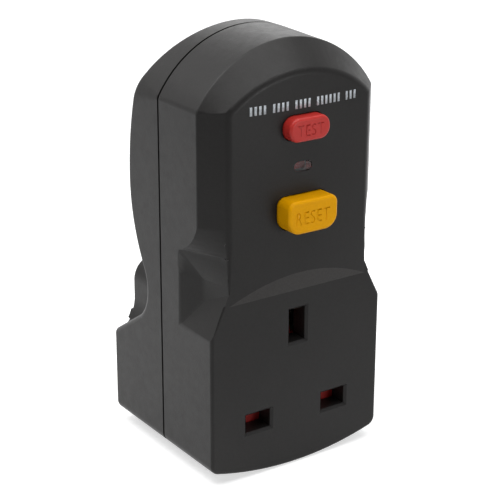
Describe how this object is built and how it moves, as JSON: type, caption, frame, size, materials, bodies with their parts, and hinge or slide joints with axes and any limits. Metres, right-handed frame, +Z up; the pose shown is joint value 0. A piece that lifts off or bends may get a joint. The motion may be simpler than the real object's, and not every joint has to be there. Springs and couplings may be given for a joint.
{
  "type": "plug-in residual current device adapter",
  "caption": "Plug-in residual current adapter with one shuttered socket, test and reset buttons, indicator window and rectangular plug pins at the back.",
  "frame": {"origin": "on the flat back that lies against the wall plate, midway between the live and neutral pins", "axes": "+X to the right as seen from the socket side, +Y back into the wall along the pins, +Z up towards the crown"},
  "size_m": [0.049, 0.0731, 0.1045],
  "materials": {
    "front_plastic": "satin moulded dark grey plastic",
    "rear_plastic": "satin moulded dark grey plastic",
    "screw_steel": "bright zinc plated",
    "pin_brass": "polished",
    "contact_brass": "rolled strip",
    "sleeve_plastic": "moulded",
    "tray_plastic": "moulded",
    "shutter_plastic": "moulded red",
    "spring_steel": "wound wire",
    "test_plastic": "moulded red",
    "reset_plastic": "moulded amber",
    "lens_plastic": "clear moulded",
    "flag_plastic": "moulded",
    "board_green": "coated laminate",
    "core_grey": "coated",
    "copper_wire": "enamelled wire",
    "live_insulation": "extruded",
    "neutral_insulation": "extruded",
    "capacitor_yellow": "moulded",
    "absorber_blue": "dipped",
    "resistor_tan": "coated",
    "chip_black": "moulded"
  },
  "bodies": {
    "housing": {"front_housing": "front_plastic", "rear_housing": "rear_plastic", "housing_screws": "screw_steel", "live_pin": "pin_brass", "neutral_pin": "pin_brass", "earth_pin": "pin_brass", "live_sleeve": "sleeve_plastic", "neutral_sleeve": "sleeve_plastic", "inner_tray": "tray_plastic", "live_socket_contact": "contact_brass", "neutral_socket_contact": "contact_brass", "earth_socket_contact": "contact_brass", "earth_strap": "contact_brass", "shutter_spring": "spring_steel", "reset_spring": "spring_steel", "indicator_lens": "lens_plastic", "circuit_board": "board_green", "board_screws": "screw_steel", "mechanism_frame": "tray_plastic", "trip_spring": "spring_steel", "fixed_contacts": "contact_brass", "solenoid_frame": "screw_steel", "solenoid_bobbin": "tray_plastic", "solenoid_coil": "copper_wire", "latch_spring": "spring_steel", "test_leaf": "contact_brass", "test_resistor": "resistor_tan", "storage_capacitor": "capacitor_yellow", "surge_absorber": "absorber_blue", "control_chip": "chip_black", "transformer_core": "core_grey", "sensing_winding": "copper_wire", "live_lead": "live_insulation", "live_link": "contact_brass", "neutral_lead": "neutral_insulation", "neutral_link": "contact_brass"},
    "shutter_slider": {"shutter": "shutter_plastic"},
    "test_key": {"test_button": "test_plastic"},
    "reset_key": {"reset_button": "reset_plastic"},
    "carrier": {"contact_carrier": "tray_plastic", "moving_contacts": "contact_brass"},
    "plunger": {"latch_plate": "screw_steel", "solenoid_plunger": "screw_steel"},
    "flag": {"indicator_flag": "flag_plastic"}
  },
  "joints": [
    {"name": "test_press", "type": "slide", "parent": "housing", "child": "test_key", "axis": [0, 1, 0], "range_m": [0, 0.0016], "stiffness_N_per_m": 900, "springref_m": -0.001, "deforming": ["test_leaf"]},
    {"name": "reset_press", "type": "slide", "parent": "housing", "child": "reset_key", "axis": [0, 1, 0], "range_m": [0, 0.003], "stiffness_N_per_m": 700, "springref_m": -0.002, "deforming": ["reset_spring"]},
    {"name": "shutter_slide", "type": "slide", "parent": "housing", "child": "shutter_slider", "axis": [0, 0, -1], "range_m": [0, 0.0058], "stiffness_N_per_m": 150, "springref_m": -0.003, "deforming": ["shutter_spring"]},
    {"name": "carrier_slide", "type": "slide", "parent": "housing", "child": "carrier", "axis": [0, -1, 0], "range_m": [0, 0.002], "deforming": ["trip_spring"]},
    {"name": "plunger_slide", "type": "slide", "parent": "housing", "child": "plunger", "axis": [-1, 0, 0], "range_m": [0, 0.0015], "stiffness_N_per_m": 300, "springref_m": -0.001, "deforming": ["latch_spring"]},
    {"name": "flag_turn", "type": "hinge", "parent": "housing", "child": "flag", "pos_m": [0, -0.0384, 0.06], "axis": [1, 0, 0], "range_deg": [-41, 0]}
  ],
  "couplings": [
    {"joint": "flag_turn", "follows": "carrier_slide", "rad_per_m": -349}
  ]
}
